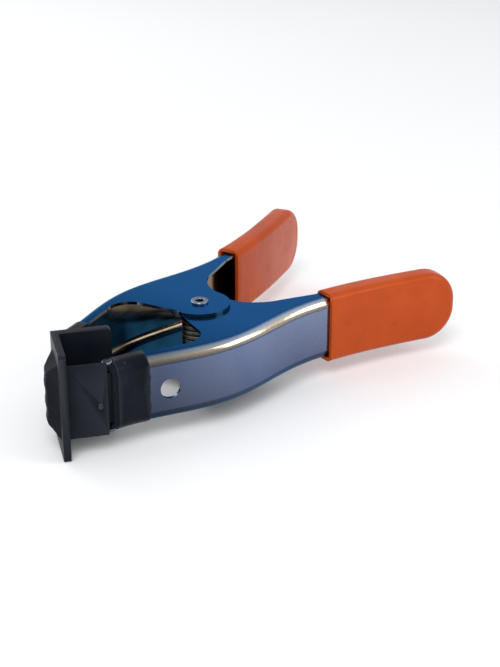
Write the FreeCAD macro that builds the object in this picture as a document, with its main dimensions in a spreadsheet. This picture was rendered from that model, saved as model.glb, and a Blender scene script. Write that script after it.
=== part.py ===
import FreeCAD, Part
import math
import os

# Spring clamp lying on its side: +X runs from the jaws to the handles, Z is the pivot axis.
# The near lever has its web towards -Y, the far lever is the same stamping turned over about X.

V = FreeCAD.Vector
doc = FreeCAD.newDocument("spring_clamp")
sheet = doc.addObject("Spreadsheet::Sheet", "Sizes")

SIZES = {
    # stamped levers
    "lever_height": 26.0, "sheet_gauge": 1.2, "bend_radius": 3.9, "ear_step": 1.3, "ear_radius": 11.8,
    "flange_depth": 7.0, "web_hole_radius": 3.9, "web_hole_place": -37.9, "web_hole_drop": -0.6,
    "jaw_end": -57.5, "handle_end": 84.0,
    # pivot
    "rivet_radius": 2.5, "rivet_bore_radius": 1.6, "rivet_head_radius": 3.45, "rivet_head_height": 0.9,
    "running_clearance": 0.05, "sleeve_radius": 4.3, "sleeve_height": 22.1,
    # spring
    "wire_radius": 0.95, "coil_radius": 6.1, "coil_pitch": 2.0, "leg_angle": 25.8, "leg_length": 62.0,
    "leg_radius": 0.88, "leg_root": 0.3,
    # grips
    "near_grip_start": 40.0, "near_grip_end": 95.5, "far_grip_start": 43.5, "far_grip_end": 105.0,
    "grip_wall": 1.5, "grip_depth": 8.5, "grip_round": 3.0, "grip_corner": 13.0,
    # dipped tip skins
    "skin_start": -45.5, "skin_wall": 0.45, "skin_depth": 6.6,
    # jaw pins
    "pin_place": -58.0, "pin_side": 12.9, "pin_radius": 1.25, "pin_head_radius": 2.0, "pin_head_height": 0.6,
    "tip_ear_radius": 2.7,
    # corner jaw, in a frame turned by jaw_turn about Z
    "jaw_turn": -31.5, "jaw_front": -60.5, "jaw_front_gauge": 2.7, "jaw_inner": -26.1, "jaw_inner_gauge": 3.5,
    "jaw_outer": -49.0, "jaw_rear": -38.9, "jaw_height": 41.6, "jaw_drop": -1.0, "jaw_corner_round": 1.4,
    "wall_outer": -45.9, "wall_gauge": 1.2, "wall_rear": -43.4, "wall_height": 28.4,
    "boss_height": 20.0, "boss_radius": 2.4,
    # jaw pads
    "front_pad_width": 14.4, "front_pad_height": 29.6, "front_pad_rise": 4.4, "front_pad_bevel": 5.0,
    "front_pad_middle": -37.5, "side_pad_gauge": 1.0, "side_pad_start": -56.0, "side_pad_length": 15.0,
    "side_pad_height": 26.0, "pad_gap": 0.3, "flat_pad_gauge": 1.2, "flat_plate_gauge": 1.1,
    "flat_plate_height": 27.0, "wall_rivet_radius": 0.7, "wall_rivet_place": -46.2, "wall_rivet_drop": -2.6,
}
for row, (alias, value) in enumerate(SIZES.items(), start=1):
    sheet.set(f"A{row}", alias)
    sheet.set(f"B{row}", str(value))
    sheet.setAlias(f"B{row}", alias)
doc.recompute()


def size(alias):
    """Value of one cell of the sheet."""
    return float(getattr(sheet, alias))


def bind(thing, **expressions):
    """Bind properties to expressions, where a name in angle brackets is a cell of the sheet."""
    for prop, expression in expressions.items():
        for alias in sorted(SIZES, key=len, reverse=True):
            expression = expression.replace(f"<{alias}>", f"Sizes.{alias}")
        thing.setExpression(prop, expression)


def new_body(name):
    body = doc.addObject("PartDesign::Body", name)
    body.Label = name
    return body


def plan_sketch(body, name, edges, height=0.0):
    """Sketch in the body's XY plane, lifted to a height, from edges that close end to end."""
    sketch = body.newObject("Sketcher::SketchObject", f"{body.Name}_{name}")
    plane = [f for f in body.Origin.OriginFeatures if f.Role == "XY_Plane"][0]
    sketch.AttachmentSupport = [(plane, "")]
    sketch.MapMode = "FlatFace"
    sketch.AttachmentOffset = FreeCAD.Placement(V(0, 0, height), FreeCAD.Rotation())
    for edge in edges:
        sketch.addGeometry(edge, False)
    return sketch


def pad(body, sketch, length):
    """Pad of equal reach above and below its sketch."""
    feature = body.newObject("PartDesign::Pad", f"{sketch.Name}_pad")
    feature.Profile = sketch
    feature.Midplane = True
    bind(feature, Length=length)
    return feature


def pocket(body, sketch, length):
    """Pocket of equal reach above and below its sketch."""
    feature = body.newObject("PartDesign::Pocket", f"{sketch.Name}_pocket")
    feature.Profile = sketch
    feature.Midplane = True
    bind(feature, Length=length)
    return feature


def drill(body, name, radius, start, axis, reach):
    """Round hole with a bound radius, centred on a point and reaching both ways along an axis."""
    hole = body.newObject("PartDesign::SubtractiveCylinder", f"{body.Name}_{name}")
    turn = FreeCAD.Rotation(V(0, 0, 1), axis)
    hole.Placement = FreeCAD.Placement(start - axis * reach, turn)
    hole.Height = 2 * reach
    bind(hole, Radius=radius)
    return hole


def round_edges(body, name, radius, wanted):
    """Fillet every edge of the body whose middle point passes the test."""
    doc.recompute()
    base = body.Tip
    chosen = []
    for number, edge in enumerate(base.Shape.Edges, start=1):
        middle = edge.valueAt((edge.FirstParameter + edge.LastParameter) / 2)
        if wanted(middle, edge):
            chosen.append(f"Edge{number}")
    if not chosen:
        raise RuntimeError(f"{body.Name}: no edge for {name}")
    fillet = body.newObject("PartDesign::Fillet", f"{body.Name}_{name}")
    fillet.Base = (base, chosen)
    bind(fillet, Radius=radius)
    return fillet


def line(start, end):
    return Part.LineSegment(start, end)


def loop(points):
    """Closed run of straight lines through the points."""
    return [line(a, b) for a, b in zip(points, points[1:] + points[:1])]


def spline(points):
    curve = Part.BSplineCurve()
    curve.interpolate(points)
    return curve


def arc(start, middle, end):
    return Part.Arc(start, middle, end)


# ---------------------------------------------------------------- lever outline, drawn for the near lever

def side(x, reach):
    """Point of the near lever's plan: reach is counted from the pivot towards the outside."""
    return V(x, -reach, 0)


BACK = spline([side(size("jaw_end"), 17.9), side(-46.7, 20.7), side(-31.1, 26.8), side(-15.6, 31.2),
               side(0, 31.8), side(15.6, 30.4), side(31.1, 30.4), side(46.7, 33.2), side(70, 40.4),
               side(106, 54.9)])
PIN = side(size("pin_place"), size("pin_side"))
HALF_HEIGHT = size("lever_height") / 2


def inward(curve, parameter):
    """Unit normal of the lever's back curve, pointing into the channel."""
    tangent = curve.tangent(parameter)[0]
    return V(-tangent.y, tangent.x, 0)


def inset(depth, x_from, x_to, count=8):
    """Curve inside the lever's back at an even depth, between two places along the clamp."""
    first, last = nearest_at(x_from), nearest_at(x_to)
    steps = [first + (last - first) * k / (count - 1) for k in range(count)]
    return spline([BACK.value(u) + inward(BACK, u) * depth for u in steps])


def nearest_at(x):
    """Parameter of the back curve at a place along the clamp, found by halving."""
    low, high = BACK.FirstParameter, BACK.LastParameter
    for _ in range(40):
        middle = (low + high) / 2
        if BACK.value(middle).x < x:
            low = middle
        else:
            high = middle
    return (low + high) / 2


def lever_outline():
    """Plan of the lever: back, tip ear, throat edge, pivot ear, handle edge."""
    back = BACK.copy()
    back.segment(BACK.FirstParameter, nearest_at(size("handle_end")))
    back_start, back_end = back.StartPoint, back.EndPoint
    away = back_start - PIN
    half = math.acos(size("tip_ear_radius") / away.Length)
    tip_angle = math.atan2(away.y, away.x) - half
    throat_angle = math.radians(72)
    ear = lambda angle: PIN + V(math.cos(angle), math.sin(angle), 0) * size("tip_ear_radius")
    tip_start, tip_end = ear(tip_angle), ear(throat_angle)
    throat_end = side(-29, 20.8)
    throat_turn_end = side(-16.6, 17.4)
    radius = size("ear_radius")
    ear_start = side(-radius * math.cos(0.15), radius * math.sin(0.15))
    ear_end = side(radius * math.cos(0.1), radius * math.sin(0.1))
    flare_end = side(25.5, 18.6)
    handle = inset(size("flange_depth"), size("near_grip_start") - 2, size("handle_end"))
    return [
        back,
        line(back_start, tip_start),
        arc(tip_start, ear(math.pi), tip_end),
        line(tip_end, throat_end),
        arc(throat_end, side(-21.2, 21.4), throat_turn_end),
        line(throat_turn_end, ear_start),
        arc(ear_start, V(0, radius, 0), ear_end),
        spline([ear_end, side(13.3, 8.2), side(17.6, 14.0), flare_end]),
        line(flare_end, handle.StartPoint),
        handle,
        line(handle.EndPoint, back_end),
    ]


def channel_outline():
    """Plan of the hollow: everything that is deeper than the web."""
    inner = inset(size("sheet_gauge"), size("jaw_end"), size("handle_end"))
    start_run = inner.tangent(inner.FirstParameter)[0] * -20
    end_run = inner.tangent(inner.LastParameter)[0] * 20
    before, after = inner.StartPoint + start_run, inner.EndPoint + end_run
    return [line(before, inner.StartPoint), inner, line(inner.EndPoint, after),
            line(after, V(after.x, 30, 0)), line(V(after.x, 30, 0), V(before.x, 30, 0)),
            line(V(before.x, 30, 0), before)]


def on_curve(curve, gap):
    return lambda p: curve.value(curve.parameter(V(p.x, p.y, 0))).distanceToPoint(V(p.x, p.y, 0)) < gap


PLACES = {
    "near": FreeCAD.Placement(V(0, 0, -size("ear_step") / 2), FreeCAD.Rotation()),
    "far": FreeCAD.Placement(V(0, 0, size("ear_step") / 2), FreeCAD.Rotation(V(1, 0, 0), 180)),
}


def lever(which):
    body = new_body(f"{which}_lever")
    pad(body, plan_sketch(body, "plan", lever_outline()), "<lever_height>")
    pocket(body, plan_sketch(body, "hollow", channel_outline()), "<lever_height> - 2 * <sheet_gauge>")
    half = HALF_HEIGHT
    hollow = half - size("sheet_gauge")
    on_back = on_curve(BACK, 0.02)
    on_inner = on_curve(inset(size("sheet_gauge"), size("jaw_end"), size("handle_end")), 0.02)
    round_edges(body, "outer_bend", "<bend_radius>",
                lambda p, e: abs(abs(p.z) - half) < 0.01 and on_back(p) and e.Length > 50)
    round_edges(body, "inner_bend", "<bend_radius> - <sheet_gauge>",
                lambda p, e: abs(abs(p.z) - hollow) < 0.01 and on_inner(p) and e.Length > 50)
    up = V(0, 0, 1)
    drill(body, "pivot_hole", "<rivet_radius> + <running_clearance>", V(0, 0, 0), up, 20)
    drill(body, "pin_hole", "<pin_radius>", PIN, up, 20)
    place = nearest_at(size("web_hole_place"))
    middle = BACK.value(place) + V(0, 0, size("web_hole_drop"))
    drill(body, "web_hole", "<web_hole_radius>", middle, inward(BACK, place), 4)
    body.Placement = PLACES[which]
    return body


def grip(which):
    """Hollow vinyl sleeve with a solid, well rounded nose."""
    body = new_body(f"{which}_grip")
    wall = size("grip_wall")
    start, stop = size(f"{which}_grip_start"), size(f"{which}_grip_end")
    outside = inset(-wall, start, stop)
    inside = inset(size("grip_depth"), start, stop)
    pad(body, plan_sketch(body, "plan", [
        outside, line(outside.EndPoint, inside.EndPoint), inside,
        line(inside.StartPoint, outside.StartPoint)]), "<lever_height> + 2 * <grip_wall>")
    top = HALF_HEIGHT + wall
    round_edges(body, "nose_corners", "<grip_corner>",
                lambda p, e: abs(abs(p.z) - top) < 0.01 and p.x > stop - 3 and e.Length < 14)
    round_edges(body, "long_round", "<grip_round>", lambda p, e: p.x > start + 3)
    web_face = inset(0, start - 2, size("handle_end"))
    edge_face = inset(size("grip_depth") - wall, start - 2, size("handle_end"))
    pocket(body, plan_sketch(body, "cavity", [
        web_face, line(web_face.EndPoint, edge_face.EndPoint), edge_face,
        line(edge_face.StartPoint, web_face.StartPoint)]), "<lever_height>")
    body.Placement = PLACES[which]
    return body


def tip_skin(which):
    """Thin dipped coat over the web and both flanges of a lever's tip."""
    body = new_body(f"{which}_tip_skin")
    stop = size("jaw_end")
    wall = size("skin_wall")
    outside = inset(-wall, stop, size("skin_start"))
    inside = inset(size("skin_depth"), stop + 0.2, size("skin_start"))
    pad(body, plan_sketch(body, "plan", [
        outside, line(outside.EndPoint, inside.EndPoint), inside,
        line(inside.StartPoint, outside.StartPoint)]), "<lever_height> + 2 * <skin_wall>")
    run = BACK.tangent(BACK.FirstParameter)[0] * 3
    web_face = inset(0, stop, size("skin_start") + 5)
    deep = V(0, 30, 0)
    pocket(body, plan_sketch(body, "lever_space", [
        line(web_face.StartPoint - run, web_face.StartPoint), web_face,
        line(web_face.EndPoint, web_face.EndPoint + deep),
        line(web_face.EndPoint + deep, web_face.StartPoint - run + deep),
        line(web_face.StartPoint - run + deep, web_face.StartPoint - run)]), "<lever_height>")
    half = HALF_HEIGHT
    on_inside, on_outside = on_curve(web_face, 0.02), on_curve(outside, 0.02)
    round_edges(body, "inner_bend", "<bend_radius>",
                lambda p, e: abs(abs(p.z) - half) < 0.01 and on_inside(p) and e.Length > 8)
    round_edges(body, "outer_bend", "<bend_radius> + <skin_wall>",
                lambda p, e: abs(abs(p.z) - half - wall) < 0.01 and on_outside(p) and e.Length > 8)
    drill(body, "pin_room", "<pin_head_radius> + 0.4", PIN, V(0, 0, 1), 20)
    body.Placement = PLACES[which]
    return body


# ---------------------------------------------------------------- pivot, spring and pins

def turned(name, profile, edges_to_round=None):
    """Body turned about Z from a closed profile of (radius, height) points."""
    body = new_body(name)
    sketch = body.newObject("Sketcher::SketchObject", f"{name}_profile")
    plane = [f for f in body.Origin.OriginFeatures if f.Role == "XZ_Plane"][0]
    sketch.AttachmentSupport = [(plane, "")]
    sketch.MapMode = "FlatFace"
    for edge in loop([V(radius, height, 0) for radius, height in profile]):
        sketch.addGeometry(edge, False)
    turn = body.newObject("PartDesign::Revolution", f"{name}_turned")
    turn.Profile = sketch
    turn.ReferenceAxis = (sketch, ["V_Axis"])
    turn.Angle = 360
    if edges_to_round:
        round_edges(body, "head_round", *edges_to_round)
    return body


def pivot_rivet():
    """Hollow rivet with a rolled head over the far lever's top ear and the near lever's bottom ear."""
    reach = (size("lever_height") + size("ear_step")) / 2
    head = reach + size("rivet_head_height")
    bore, shank, rim = size("rivet_bore_radius"), size("rivet_radius"), size("rivet_head_radius")
    lift = 0.05
    profile = [(bore, -head), (rim, -head), (rim, -reach), (shank, -reach),
               (shank, reach + lift), (rim, reach + lift), (rim, head + lift), (bore, head + lift)]
    at_end = lambda p, e: abs(p.z) > head - 0.01
    return turned("pivot_rivet", profile, ("<rivet_head_height> / 2.2", at_end))


def spring_sleeve():
    inner, outer = size("rivet_radius") + size("running_clearance"), size("sleeve_radius")
    half = size("sleeve_height") / 2
    return turned("spring_sleeve", [(inner, -half), (outer, -half), (outer, half), (inner, half)])


def jaw_pin(name, which):
    """Pin through both tip ears of a lever, headed outside each."""
    reach = HALF_HEIGHT
    head = reach + size("pin_head_height")
    shank, rim = size("pin_radius"), size("pin_head_radius")
    profile = [(0, -head), (rim, -head), (rim, -reach), (shank, -reach),
               (shank, reach), (rim, reach), (rim, head), (0, head)]
    body = turned(name, profile, ("<pin_head_height> * 0.6", lambda p, e: abs(p.z) > head - 0.01))
    place = PLACES[which].multVec(PIN)
    body.Placement = FreeCAD.Placement(place, FreeCAD.Rotation())
    return body


def torsion_spring():
    """Close-wound coil round the sleeve with a straight leg into each handle."""
    radius, wire, pitch = size("coil_radius"), size("wire_radius"), size("coil_pitch")
    leg_angle = size("leg_angle")
    start_angle = leg_angle + 90
    turns = 9 + (360 - 2 * start_angle) / 360
    rise = turns * pitch
    helix = Part.makeHelix(pitch, rise, radius)
    helix.Placement = FreeCAD.Placement(V(0, 0, -rise / 2), FreeCAD.Rotation(V(0, 0, 1), start_angle))
    path = Part.Wire(helix.Edges)
    first = path.Edges[0]
    ring = Part.Wire(Part.makeCircle(wire, first.valueAt(first.FirstParameter),
                                     first.tangentAt(first.FirstParameter)))
    coil = path.makePipeShell([ring], True, True)
    pieces = []
    for sign, end_height in ((1, -rise / 2), (-1, rise / 2)):
        angle = math.radians(start_angle) * sign
        leave = V(radius * math.cos(angle), radius * math.sin(angle), end_height)
        along = V(math.cos(math.radians(leg_angle)), sign * math.sin(math.radians(leg_angle)), 0)
        root = leave - along * size("leg_root")
        pieces.append(Part.makeCylinder(size("leg_radius"), size("leg_length") + size("leg_root"), root, along))
    shape = coil.multiFuse(pieces)
    spring = doc.addObject("Part::Feature", "torsion_spring")
    spring.Label = "torsion_spring"
    spring.Shape = shape
    return spring


# ---------------------------------------------------------------- jaws, drawn in a frame turned about Z

JAW_FRAME = FreeCAD.Placement(V(0, 0, 0), FreeCAD.Rotation(V(0, 0, 1), size("jaw_turn")))


def in_jaw_frame(point):
    return JAW_FRAME.inverse().multVec(point)


def rectangle(x_low, x_high, y_low, y_high):
    return loop([V(x_low, y_low, 0), V(x_high, y_low, 0), V(x_high, y_high, 0), V(x_low, y_high, 0)])


def boss_outline(pin, wall_x, radius):
    """Arm from a wall at wall_x to a round end about the pin."""
    low, high = pin.y - radius, pin.y + radius
    return [line(V(wall_x, low, 0), V(pin.x, low, 0)),
            arc(V(pin.x, low, 0), V(pin.x + radius, pin.y, 0), V(pin.x, high, 0)),
            line(V(pin.x, high, 0), V(wall_x, high, 0)), line(V(wall_x, high, 0), V(wall_x, low, 0))]


def corner_jaw():
    """L-shaped jaw: tall front plate, inner plate, outer wall and the arm on the near lever's pin."""
    body = new_body("corner_jaw")
    front, back_of_front = size("jaw_front"), size("jaw_front") + size("jaw_front_gauge")
    inner, outer, rear = size("jaw_inner"), size("jaw_outer"), size("jaw_rear")
    inner_back = inner - size("jaw_inner_gauge")
    ell = [V(front, outer, 0), V(back_of_front, outer, 0), V(back_of_front, inner_back, 0),
           V(rear, inner_back, 0), V(rear, inner, 0), V(front, inner, 0)]
    drop = size("jaw_drop")
    pad(body, plan_sketch(body, "plates", loop(ell), drop), "<jaw_height>")
    half = size("jaw_height") / 2
    at_outside = lambda p: abs(p.y - outer) < 0.01 or abs(p.x - rear) < 0.01
    round_edges(body, "corners", "<jaw_corner_round>",
                lambda p, e: abs(abs(p.z - drop) - half) < 0.01 and at_outside(p))
    wall_outer = size("wall_outer")
    pad(body, plan_sketch(body, "wall", rectangle(
        back_of_front - 0.5, size("wall_rear"), wall_outer, wall_outer + size("wall_gauge"))), "<wall_height>")
    pin = in_jaw_frame(PLACES["near"].multVec(PIN))
    middle = -size("ear_step") / 2
    pad(body, plan_sketch(body, "arm", boss_outline(V(pin.x, pin.y, 0), back_of_front - 0.5,
                                                    size("boss_radius")), middle), "<boss_height>")
    drill(body, "pin_hole", "<pin_radius> + <running_clearance>", V(pin.x, pin.y, 0), V(0, 0, 1), 20)
    drill(body, "rivet_hole", "<wall_rivet_radius>",
          V(size("wall_rivet_place"), wall_outer, size("wall_rivet_drop")), V(0, 1, 0), 2)
    body.Placement = JAW_FRAME
    return body


def flat_jaw():
    """Plain jaw plate with its arm on the far lever's pin."""
    body = new_body("flat_jaw")
    face = size("jaw_inner") + size("side_pad_gauge") + size("pad_gap") + size("flat_pad_gauge")
    back = face + size("flat_plate_gauge")
    start = size("side_pad_start")
    pad(body, plan_sketch(body, "plate", rectangle(start, start + size("side_pad_length") + 1, face, back)),
        "<flat_plate_height>")
    half = size("flat_plate_height") / 2
    round_edges(body, "corners", "<jaw_corner_round>",
                lambda p, e: abs(p.x - start - size("side_pad_length") - 1) < 0.01 and abs(abs(p.z) - half) < 0.01)
    pin = in_jaw_frame(PLACES["far"].multVec(PIN))
    radius = size("boss_radius")
    arm = [line(V(pin.x - radius, back - 0.4, 0), V(pin.x + radius, back - 0.4, 0)),
           line(V(pin.x + radius, back - 0.4, 0), V(pin.x + radius, pin.y, 0)),
           arc(V(pin.x + radius, pin.y, 0), V(pin.x, pin.y + radius, 0), V(pin.x - radius, pin.y, 0)),
           line(V(pin.x - radius, pin.y, 0), V(pin.x - radius, back - 0.4, 0))]
    pad(body, plan_sketch(body, "arm", arm, size("ear_step") / 2), "<boss_height>")
    drill(body, "pin_hole", "<pin_radius> + <running_clearance>", V(pin.x, pin.y, 0), V(0, 0, 1), 20)
    body.Placement = JAW_FRAME
    return body


def plain_pad(name, face, gauge, width_cells):
    """Flat rubber pad between two faces of the jaw frame."""
    body = new_body(name)
    start = size("side_pad_start")
    pad(body, plan_sketch(body, "plan", rectangle(start, start + size("side_pad_length"), face, face + gauge)),
        width_cells)
    body.Placement = JAW_FRAME
    return body


def front_pad():
    """Bevelled pad on the corner jaw's front plate."""
    wedge = doc.addObject("Part::Wedge", "corner_jaw_front_pad")
    wedge.Label = "corner_jaw_front_pad"
    bind(wedge, Xmin="0", Zmin="0", Ymin="0", Ymax="<front_pad_rise>", Xmax="<front_pad_width>",
         Zmax="<front_pad_height>", X2min="<front_pad_bevel>", X2max="<front_pad_width> - <front_pad_bevel>",
         Z2min="<front_pad_bevel>", Z2max="<front_pad_height> - <front_pad_bevel>")
    corner = V(size("jaw_front"), size("front_pad_middle") - size("front_pad_width") / 2,
               -size("front_pad_height") / 2)
    wedge.Placement = JAW_FRAME.multiply(FreeCAD.Placement(corner, FreeCAD.Rotation(V(0, 0, 1), 90)))
    return wedge


def wall_rivet():
    """Small rivet through the corner jaw's outer wall, headed outside."""
    radius = size("wall_rivet_radius")
    wall = size("wall_gauge")
    body = turned("corner_jaw_rivet", [(0, -wall), (radius, -wall), (radius, 0), (radius + 0.5, 0),
                                       (radius + 0.2, 0.4), (0, 0.4)])
    place = V(size("wall_rivet_place"), size("wall_outer"), size("wall_rivet_drop"))
    outwards = FreeCAD.Rotation(V(0, 0, 1), V(0, -1, 0))
    body.Placement = JAW_FRAME.multiply(FreeCAD.Placement(place, outwards))
    return body


nodes = [make(which) for which in ("near", "far") for make in (lever, grip, tip_skin)]
nodes += [pivot_rivet(), spring_sleeve(), torsion_spring()]
nodes += [jaw_pin("corner_jaw_pin", "near"), jaw_pin("flat_jaw_pin", "far")]
nodes += [corner_jaw(), flat_jaw(), front_pad(), wall_rivet()]
side_face = size("jaw_inner")
nodes.append(plain_pad("corner_jaw_side_pad", side_face, size("side_pad_gauge"), "<side_pad_height>"))
nodes.append(plain_pad("flat_jaw_pad", side_face + size("side_pad_gauge") + size("pad_gap"),
                       size("flat_pad_gauge"), "<side_pad_height>"))
doc.recompute()

for thing in doc.Objects:
    if "Invalid" in thing.State or "Error" in thing.State:
        raise RuntimeError(f"{thing.Name} failed: {thing.State}")
for node in nodes:
    if node.Shape.isNull() or not node.Shape.isValid() or len(node.Shape.Solids) != 1:
        raise RuntimeError(f"{node.Label} has a bad shape: {len(node.Shape.Solids)} solids")

os.makedirs("parts", exist_ok=True)
for node in nodes:
    node.Shape.exportStep(f"parts/{node.Label}.step")
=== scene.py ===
import math

import bmesh
import bpy
from mathutils import Matrix, Vector


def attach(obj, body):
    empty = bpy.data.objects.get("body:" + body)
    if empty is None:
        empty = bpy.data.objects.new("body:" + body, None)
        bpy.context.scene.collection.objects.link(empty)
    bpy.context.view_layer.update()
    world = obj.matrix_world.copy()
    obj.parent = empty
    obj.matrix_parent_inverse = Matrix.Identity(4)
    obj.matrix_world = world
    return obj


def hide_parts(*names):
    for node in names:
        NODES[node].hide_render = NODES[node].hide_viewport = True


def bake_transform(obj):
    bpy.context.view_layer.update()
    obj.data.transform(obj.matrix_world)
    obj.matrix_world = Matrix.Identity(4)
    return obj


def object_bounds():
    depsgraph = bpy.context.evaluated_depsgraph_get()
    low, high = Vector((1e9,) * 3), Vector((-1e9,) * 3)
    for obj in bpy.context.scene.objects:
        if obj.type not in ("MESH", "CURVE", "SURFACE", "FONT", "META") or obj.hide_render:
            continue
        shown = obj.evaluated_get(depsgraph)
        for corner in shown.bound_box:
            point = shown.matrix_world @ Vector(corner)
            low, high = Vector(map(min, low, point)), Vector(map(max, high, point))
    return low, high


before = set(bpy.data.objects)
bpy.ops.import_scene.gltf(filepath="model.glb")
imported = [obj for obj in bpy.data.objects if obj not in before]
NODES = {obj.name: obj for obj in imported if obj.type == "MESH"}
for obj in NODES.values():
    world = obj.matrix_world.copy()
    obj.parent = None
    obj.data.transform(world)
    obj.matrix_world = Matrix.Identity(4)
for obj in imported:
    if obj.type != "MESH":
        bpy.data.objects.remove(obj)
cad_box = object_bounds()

MM = 0.001
FULL_TURN = 2 * math.pi


# ---------------------------------------------------------------- materials

def new_material(name, colour, roughness, metallic=0.0, **shader):
    """Principled material and the handles that the helpers below join to."""
    material = bpy.data.materials.new(name)
    material.use_nodes = True
    nodes = material.node_tree.nodes
    bsdf = nodes["Principled BSDF"]
    bsdf.inputs["Base Color"].default_value = (*colour, 1)
    bsdf.inputs["Roughness"].default_value = roughness
    bsdf.inputs["Metallic"].default_value = metallic
    for socket, value in shader.items():
        bsdf.inputs[socket.replace("_", " ")].default_value = value
    return material, bsdf


def add(material, kind, **settings):
    """Node whose settings are input values where an input has that name, else properties."""
    node = material.node_tree.nodes.new(kind)
    for name, value in settings.items():
        if name in node.inputs:
            node.inputs[name].default_value = value
        else:
            setattr(node, name, value)
    return node


def join(material, output, socket):
    material.node_tree.links.new(output, socket)


def noise(material, scale, detail=4.0, stretch=(1, 1, 1)):
    """Noise in the object's own space, stretched along the axes."""
    place = add(material, "ShaderNodeTexCoord")
    mapping = add(material, "ShaderNodeMapping")
    mapping.inputs["Scale"].default_value = stretch
    texture = add(material, "ShaderNodeTexNoise", Scale=scale, Detail=detail, Roughness=0.55)
    join(material, place.outputs["Object"], mapping.inputs["Vector"])
    join(material, mapping.outputs["Vector"], texture.inputs["Vector"])
    return texture.outputs["Fac"]


def ramp(material, factor, stops):
    """Colour ramp through (place, colour) stops."""
    node = add(material, "ShaderNodeValToRGB")
    elements = node.color_ramp.elements
    while len(elements) < len(stops):
        elements.new(0.5)
    for element, (place, colour) in zip(elements, stops):
        element.position = place
        element.color = (*colour, 1)
    join(material, factor, node.inputs["Fac"])
    return node.outputs["Color"]


def blend_colours(material, factor, first, second, mode="MIX"):
    """Mix of two colours, each a constant or an output, by a number or an output."""
    node = add(material, "ShaderNodeMix", data_type="RGBA", blend_type=mode)
    for value, index in ((factor, 0), (first, 6), (second, 7)):
        if isinstance(value, (float, int)):
            node.inputs[index].default_value = value
        elif isinstance(value, tuple):
            node.inputs[index].default_value = (*value, 1)
        else:
            join(material, value, node.inputs[index])
    return node.outputs[2]


def span(material, factor, low, high):
    """Map the middle of a noise's range, where most of it lies, to low..high."""
    return map_range(material, factor, 0.3, 0.7, low, high)


def bump(material, bsdf, height, distance, strength, after=None):
    """Bump of a height in metres, on top of an earlier one if given."""
    node = add(material, "ShaderNodeBump", Strength=strength, Distance=distance)
    join(material, height, node.inputs["Height"])
    if after is not None:
        join(material, after, node.inputs["Normal"])
    join(material, node.outputs["Normal"], bsdf.inputs["Normal"])
    return node.outputs["Normal"]


def edge_wear(material):
    """0 on flat stretches, 1 along worn outside edges."""
    geometry = add(material, "ShaderNodeNewGeometry")
    return map_range(material, geometry.outputs["Pointiness"], 0.52, 0.60, 0.0, 1.0)


def multiply(material, colour, amount):
    """Scale a colour by a number that varies over the surface."""
    node = add(material, "ShaderNodeVectorMath", operation="SCALE")
    join(material, colour, node.inputs[0])
    join(material, amount, node.inputs["Scale"])
    return node.outputs[0]


def axis_parts(material, kind, output):
    """X, Y and Z of a node's vector output."""
    node = add(material, kind)
    parts = add(material, "ShaderNodeSeparateXYZ")
    join(material, node.outputs[output], parts.inputs["Vector"])
    return parts.outputs


def map_range(material, value, from_low, from_high, to_low, to_high):
    """Map from_low..from_high to to_low..to_high, held at both ends."""
    node = add(material, "ShaderNodeMapRange")
    join(material, value, node.inputs["Value"])
    node.inputs["From Min"].default_value = from_low
    node.inputs["From Max"].default_value = from_high
    node.inputs["To Min"].default_value = to_low
    node.inputs["To Max"].default_value = to_high
    return node.outputs["Result"]


def dip_mask(material, along):
    """1 on the jaw's side of a ragged line across the lever, 0 on the handle's side."""
    dip_start, dip_end, raggedness = -0.0444, -0.0438, 0.0024
    edge = add(material, "ShaderNodeMath", operation="MULTIPLY_ADD")
    join(material, noise(material, 220, 3.0), edge.inputs[0])
    edge.inputs[1].default_value = raggedness
    join(material, along, edge.inputs[2])
    return map_range(material, edge.outputs[0], dip_start, dip_end, 1.0, 0.0)


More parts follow.
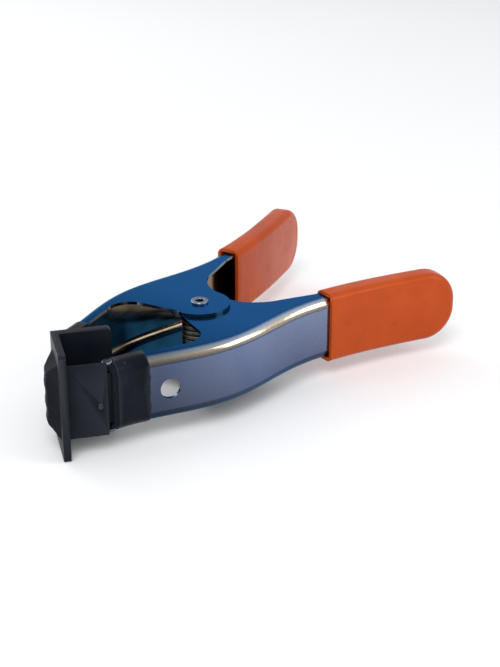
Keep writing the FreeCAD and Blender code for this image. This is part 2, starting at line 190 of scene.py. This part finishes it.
def plated_steel(name, inward):
    """Polished plate with a dipped black tip, coloured with painted light: painted blue reflection on
    the flanges, painted warm highlight on the bends, painted warm reflection inside.

    inward is +1 or -1: the side of Y that the hollow of this lever faces.
    """
    material, bsdf = new_material(name, (0.1, 0.13, 0.2), 0.2, 1.0,
                                  Specular_IOR_Level=0.1, Specular_Tint=(0.50, 0.72, 0.95, 1))
    normal = axis_parts(material, "ShaderNodeNewGeometry", "Normal")
    place = axis_parts(material, "ShaderNodeTexCoord", "Object")
    # Painted light by which way the surface faces: painted shade on down-facing faces, a lighter
    # painted sheen on the upright web, a painted warm highlight on the bends and a painted blue sky
    # reflection on the up-facing flanges.
    facing_painted_light = ramp(material, map_range(material, normal["Z"], -1, 1, 0, 1), [
        (0.0, (0.045, 0.065, 0.12)), (0.45, (0.10, 0.12, 0.19)), (0.50, (0.17, 0.21, 0.33)),
        (0.56, (0.07, 0.09, 0.14)), (0.66, (0.40, 0.33, 0.24)), (0.80, (0.70, 0.60, 0.46)),
        (0.93, (0.36, 0.46, 0.60)), (0.985, (0.020, 0.080, 0.24))])
    # Painted shade that darkens the plate towards the jaw end, and painted light that brightens it up
    # the web.
    jaw_end, pivot, jaw_end_painted_shade = -0.042, 0.0, 0.42
    web_foot, web_head, foot_painted_shade, head_painted_light = -0.010, 0.011, 0.78, 1.22
    painted_shade_towards_jaw = map_range(material, place["X"], jaw_end, pivot, jaw_end_painted_shade, 1.0)
    painted_light_up_the_web = map_range(material, place["Z"], web_foot, web_head, foot_painted_shade, head_painted_light)
    outside = multiply(material, multiply(material, facing_painted_light, painted_shade_towards_jaw), painted_light_up_the_web)
    # Painted warm reflection, with a painted highlight in its lightest stop, on the faces turned into
    # the hollow.
    inside_painted_reflection = ramp(material, noise(material, 30, 4.0), [
        (0.35, (0.12, 0.095, 0.06)), (0.55, (0.28, 0.23, 0.155)), (0.75, (0.52, 0.44, 0.31))])
    turns_inward, faces_inward = 0.25 * inward, 0.5 * inward
    hollow = map_range(material, normal["Y"], turns_inward, faces_inward, 0.0, 1.0)
    plate = blend_colours(material, hollow, outside, inside_painted_reflection)
    patches = ramp(material, noise(material, 34, 6.0), [
        (0.3, (0.70, 0.80, 1.0)), (0.55, (1.0, 1.0, 1.0)), (0.78, (1.0, 0.86, 0.70))])
    plate = blend_colours(material, 0.5, plate, patches, "MULTIPLY")
    specks = ramp(material, noise(material, 2600, 2.0, (0.35, 1, 1)), [
        (0.38, (0.62, 0.62, 0.62)), (0.6, (1.12, 1.1, 1.06))])
    plate = blend_colours(material, 0.22, plate, specks, "MULTIPLY")
    dipped = dip_mask(material, place["X"])
    colour = blend_colours(material, dipped, plate, (0.006, 0.008, 0.011))
    join(material, colour, bsdf.inputs["Base Color"])
    join(material, map_range(material, dipped, 0, 1, 1, 0), bsdf.inputs["Metallic"])
    brushed = noise(material, 900, 3.0, (0.06, 1, 1))
    join(material, span(material, brushed, 0.10, 0.19), bsdf.inputs["Roughness"])
    wavy = bump(material, bsdf, noise(material, 45, 1.0), 0.0009, 0.22)
    bump(material, bsdf, brushed, 0.00003, 0.3, wavy)
    return material


def vinyl():
    """Soft dipped vinyl, glossy, with faint dirt and a lightly uneven skin."""
    material, bsdf = new_material("grip_vinyl", (0.45, 0.050, 0.006), 0.28, 0.0,
                                  Coat_Weight=0.03, Coat_Roughness=0.08, Specular_IOR_Level=0.16)
    cloud = ramp(material, noise(material, 40, 5.0), [
        (0.3, (0.38, 0.048, 0.004)), (0.55, (0.45, 0.060, 0.005)), (0.8, (0.53, 0.078, 0.007))])
    dirt = ramp(material, noise(material, 160, 8.0, (0.5, 1, 1)), [
        (0.62, (1, 1, 1)), (0.74, (0.62, 0.52, 0.46))])
    join(material, blend_colours(material, 0.5, cloud, dirt, "MULTIPLY"), bsdf.inputs["Base Color"])
    join(material, span(material, noise(material, 90, 4.0), 0.16, 0.30), bsdf.inputs["Roughness"])
    soft = bump(material, bsdf, noise(material, 55, 2.0), 0.0011, 0.35)
    bump(material, bsdf, noise(material, 1400, 2.0), 0.00003, 0.6, soft)
    return material


def black_coat(name, roughness, grain):
    """Black dipped or moulded skin: grain in millimetres across."""
    material, bsdf = new_material(name, (0.006, 0.008, 0.012), roughness, 0.0, Specular_IOR_Level=0.07)
    cloud = ramp(material, noise(material, 70, 5.0), [
        (0.3, (0.004, 0.005, 0.009)), (0.6, (0.007, 0.009, 0.014)), (0.8, (0.014, 0.017, 0.024))])
    worn = blend_colours(material, edge_wear(material), cloud, (0.03, 0.034, 0.042))
    join(material, worn, bsdf.inputs["Base Color"])
    join(material, span(material, noise(material, 120, 4.0), roughness - 0.08, roughness + 0.12),
         bsdf.inputs["Roughness"])
    soft = bump(material, bsdf, noise(material, 110, 3.0), 0.0006, 0.4)
    bump(material, bsdf, noise(material, 1 / (grain * MM), 3.0), 0.00006, 0.6, soft)
    return material


def bare_steel(name, colour, roughness, stretch):
    """Bare or plated steel with fine turning marks and faint stains."""
    material, bsdf = new_material(name, colour, roughness, 1.0)
    stains = ramp(material, noise(material, 300, 6.0), [
        (0.35, tuple(0.55 * part for part in colour)), (0.6, colour),
        (0.8, tuple(min(1, 1.2 * part) for part in colour))])
    join(material, stains, bsdf.inputs["Base Color"])
    marks = noise(material, 1200, 3.0, stretch)
    join(material, span(material, marks, roughness - 0.08, roughness + 0.12), bsdf.inputs["Roughness"])
    bump(material, bsdf, marks, 0.00005, 0.5)
    return material


NEAR_STEEL = plated_steel("near_plate", 1)
FAR_STEEL = plated_steel("far_plate", -1)
VINYL = vinyl()
DIP = black_coat("tip_dip", 0.24, 0.8)
JAW = black_coat("jaw_mould", 0.34, 0.5)
RUBBER = black_coat("pad_rubber", 0.52, 0.3)
BRIGHT = bare_steel("rivet_steel", (0.26, 0.31, 0.38), 0.20, (1, 1, 0.1))
DOT = bare_steel("dot_steel", (0.06, 0.065, 0.08), 0.30, (1, 1, 1))
SPRING = bare_steel("spring_wire", (0.20, 0.19, 0.18), 0.32, (1, 1, 1))
TUBE = bare_steel("sleeve_steel", (0.26, 0.25, 0.24), 0.38, (1, 1, 0.1))

FINISH = {
    "near_lever": NEAR_STEEL, "far_lever": FAR_STEEL, "near_grip": VINYL, "far_grip": VINYL,
    "near_tip_skin": DIP, "far_tip_skin": DIP, "pivot_rivet": BRIGHT, "spring_sleeve": TUBE,
    "torsion_spring": SPRING, "corner_jaw": JAW, "flat_jaw": JAW, "corner_jaw_front_pad": RUBBER,
    "corner_jaw_side_pad": RUBBER, "flat_jaw_pad": RUBBER, "corner_jaw_pin": BRIGHT,
    "flat_jaw_pin": BRIGHT, "corner_jaw_rivet": DOT,
}


def dress(piece, material):
    piece.data.materials.clear()
    piece.data.materials.append(material)


for name, material in FINISH.items():
    dress(NODES[name], material)


# ---------------------------------------------------------------- rebuilt pieces

JAW_ANGLE = math.radians(-31.5)
JAW_TURN = Matrix.Rotation(JAW_ANGLE, 4, "Z")


def finish_piece(name, mesh, material, body, slot_name, *replaced):
    """Object from a mesh, dressed, riding on its body and standing for CAD nodes."""
    piece = bpy.data.objects.new(name, mesh)
    bpy.context.collection.objects.link(piece)
    dress(piece, material)
    for face in mesh.polygons:
        face.use_smooth = True
    if replaced:
        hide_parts(*replaced)
    if body:
        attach(piece, body)
    return piece


def smooth_edges(piece, width):
    """Small machined or moulded radius on every sharp edge."""
    bevel = piece.modifiers.new("edge_radius", "BEVEL")
    bevel.width = width
    bevel.segments = 3
    bevel.limit_method = "ANGLE"
    bevel.angle_limit = math.radians(32)
    bevel.harden_normals = True


def tube(points, radius):
    """Closed round bar along a list of points."""
    sides = 14
    mesh = bmesh.new()
    rings = []
    side = None
    for number, point in enumerate(points):
        ahead = points[min(number + 1, len(points) - 1)] - points[max(number - 1, 0)]
        ahead.normalize()
        guess = side if side is not None else ahead.orthogonal()
        side = (guess - ahead * guess.dot(ahead)).normalized()
        other = ahead.cross(side)
        ring = []
        for step in range(sides):
            angle = FULL_TURN * step / sides
            outward = side * math.cos(angle) + other * math.sin(angle)
            ring.append(mesh.verts.new(point + outward * radius))
        rings.append(ring)
    for low, high in zip(rings, rings[1:]):
        for step in range(sides):
            after = (step + 1) % sides
            mesh.faces.new((low[step], low[after], high[after], high[step]))
    mesh.faces.new(rings[0][::-1])
    mesh.faces.new(rings[-1])
    data = bpy.data.meshes.new("tube")
    mesh.to_mesh(data)
    mesh.free()
    return data


def torsion_spring():
    """Coil wound from the far handle's leg, at the bottom, to the near handle's leg, at the top."""
    wire, coil, pitch = 0.93 * MM, 6.1 * MM, 2.0 * MM
    leg_angle, leg, leg_steps = math.radians(25.8), 61.5 * MM, 12
    whole_turns, steps_per_turn = 9, 40
    start = leg_angle + math.pi / 2
    turns = whole_turns + (FULL_TURN - 2 * start) / FULL_TURN
    height = turns * pitch

    def on_leg(reach, end):
        """Point on a leg: end is -1 for the far handle's, at the bottom, and 1 for the near one's."""
        x = coil * math.cos(start) + reach * math.cos(leg_angle)
        y = coil * math.sin(start) + reach * math.sin(leg_angle)
        return Vector((x, -end * y, end * height / 2))

    points = [on_leg(leg * (1 - number / leg_steps), -1) for number in range(leg_steps)]
    steps = int(turns * steps_per_turn)
    for number in range(steps + 1):
        part = number / steps
        angle = start + part * turns * FULL_TURN
        points.append(Vector((coil * math.cos(angle), coil * math.sin(angle), height * (part - 0.5))))
    points += [on_leg(leg * number / leg_steps, 1) for number in range(1, leg_steps + 1)]
    piece = finish_piece("torsion_spring_wire", tube(points, wire), SPRING, None,
                         "spring_steel", "torsion_spring")
    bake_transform(piece)


def pad_height(from_side, from_end, z):
    """Height of the pad's face in millimetres, at a distance from its side and its end."""
    rise, bevel, rounding, full_slope = 4.4, 5.0, 2.6, 1.6
    ridge_period, ridge_shift, ridge_depth = 7.2, 2, 0.42
    ripple_rate, ripple_depth, wave_share, wear = 1.9, 0.16, 0.75, 0.45
    slope = min(from_side, from_end) / bevel
    level = rise * min(1.0, slope)
    soft = 1 - math.exp(-rounding * max(0.0, slope))
    soft = rise * soft / (1 - math.exp(-rounding * full_slope))
    ridge = 0.5 + 0.5 * math.cos(FULL_TURN * (z + ridge_shift) / ridge_period)
    wave = ridge_depth * ridge + ripple_depth * math.sin(z * ripple_rate) ** 2
    crest = max(0.0, min(1.0, slope))
    return max(0.0, min(level, soft) - (wear - wave * wave_share) * crest)


def front_pad():
    """Bevelled rubber pad with a rolling, worn front ridge."""
    front, middle, half_width, half_height = -60.5, -37.5, 7.2, 14.8
    across, along, sunk_by = 48, 96, 0.2 * MM
    mesh = bmesh.new()
    grid = []
    for row in range(across + 1):
        n = -half_width + 2 * half_width * row / across
        line = []
        for column in range(along + 1):
            z = -half_height + 2 * half_height * column / along
            height = pad_height(half_width - abs(n), half_height - abs(z), z)
            place = Vector((front - height, middle + n, z)) * MM
            line.append(mesh.verts.new(JAW_TURN @ place))
        grid.append(line)
    for near_line, next_line in zip(grid, grid[1:]):
        for column in range(along):
            mesh.faces.new((near_line[column], next_line[column],
                            next_line[column + 1], near_line[column + 1]))
    rim = [edge for edge in mesh.edges if edge.is_boundary]
    base = bmesh.ops.extrude_edge_only(mesh, edges=rim)
    sunk = [item for item in base["geom"] if isinstance(item, bmesh.types.BMVert)]
    bmesh.ops.translate(mesh, verts=sunk, vec=JAW_TURN.to_3x3() @ Vector((sunk_by, 0, 0)))
    bmesh.ops.contextual_create(mesh, geom=[edge for edge in mesh.edges if edge.is_boundary])
    bmesh.ops.recalc_face_normals(mesh, faces=mesh.faces)
    data = bpy.data.meshes.new("front_pad")
    mesh.to_mesh(data)
    mesh.free()
    finish_piece("front_pad_rubber", data, RUBBER, "corner_shoe", "jaw_rubber", "corner_jaw_front_pad")


def softened(node, body, slot_name, width):
    """Copy of a CAD piece with a small radius on its sharp edges."""
    weld, flatness = 0.002 * MM, math.radians(0.2)
    mesh = bmesh.new()
    mesh.from_mesh(NODES[node].data)
    bmesh.ops.remove_doubles(mesh, verts=mesh.verts, dist=weld)
    bmesh.ops.dissolve_limit(mesh, angle_limit=flatness, verts=mesh.verts, edges=mesh.edges)
    data = bpy.data.meshes.new(node)
    mesh.to_mesh(data)
    mesh.free()
    piece = finish_piece(f"{node}_shell", data, FINISH[node], body, slot_name, node)
    smooth_edges(piece, width)


torsion_spring()
front_pad()
for node, body, slot_name, width in (
        ("corner_jaw", "corner_shoe", "jaw_plastic", 0.45 * MM),
        ("flat_jaw", "flat_shoe", "jaw_plastic", 0.3 * MM),
        ("corner_jaw_side_pad", "corner_shoe", "jaw_rubber", 0.3 * MM),
        ("flat_jaw_pad", "flat_shoe", "jaw_rubber", 0.3 * MM),
        ("near_grip", "near_half", "grip_vinyl", 0.5 * MM),
        ("far_grip", "far_half", "grip_vinyl", 0.5 * MM)):
    softened(node, body, slot_name, width)


# ---------------------------------------------------------------- stage, light and camera

def floor(height):
    """Large pale floor, softly mottled."""
    bpy.ops.mesh.primitive_plane_add(size=8, location=(0, 0, height))
    plane = bpy.context.object
    plane.name = "floor"
    material, bsdf = new_material("floor_paper", (0.92, 0.92, 0.92), 0.8)
    tone = ramp(material, noise(material, 2.0, 2.0), [
        (0.3, (0.90, 0.90, 0.90)), (0.7, (0.93, 0.93, 0.93))])
    join(material, tone, bsdf.inputs["Base Color"])
    dress(plane, material)


def softbox(name, place, aim, size, power):
    """Square area light that faces the point aimed at."""
    data = bpy.data.lights.new(name, "AREA")
    data.size = size
    data.energy = power
    light = bpy.data.objects.new(name, data)
    light.location = place
    light.rotation_euler = (Vector(aim) - Vector(place)).to_track_quat("-Z", "Y").to_euler()
    bpy.context.collection.objects.link(light)


def camera():
    """Camera above and in front of the near lever, aimed just beside the pivot."""
    turn, rise, distance = math.radians(45.76), math.radians(24.6), 0.559
    target = Vector((14.1, -13.3, 0)) * MM
    level = math.cos(rise)
    back = Vector((-math.sin(turn) * level, -math.cos(turn) * level, math.sin(rise)))
    data = bpy.data.cameras.new("camera")
    data.lens = 77.56
    data.sensor_width = 36
    holder = bpy.data.objects.new("camera", data)
    holder.location = target + back * distance
    holder.rotation_euler = back.to_track_quat("Z", "Y").to_euler()
    bpy.context.collection.objects.link(holder)
    bpy.context.scene.camera = holder


def light_room():
    world = bpy.data.worlds.new("room")
    world.use_nodes = True
    background = world.node_tree.nodes["Background"]
    background.inputs["Color"].default_value = (0.95, 0.97, 1.0, 1)
    background.inputs["Strength"].default_value = 0.72
    bpy.context.scene.world = world
    bpy.context.scene.view_settings.view_transform = "Standard"
    softbox("key", (-0.5, -0.35, 0.8), (0, 0, 0), 0.5, 4.5)
    softbox("fill", (0.5, -0.7, 0.45), (0.03, 0, 0), 0.5, 2)
    softbox("back", (0.1, 0.8, 0.5), (0, 0, 0), 0.6, 2)


floor(cad_box[0].z)
light_room()
camera()
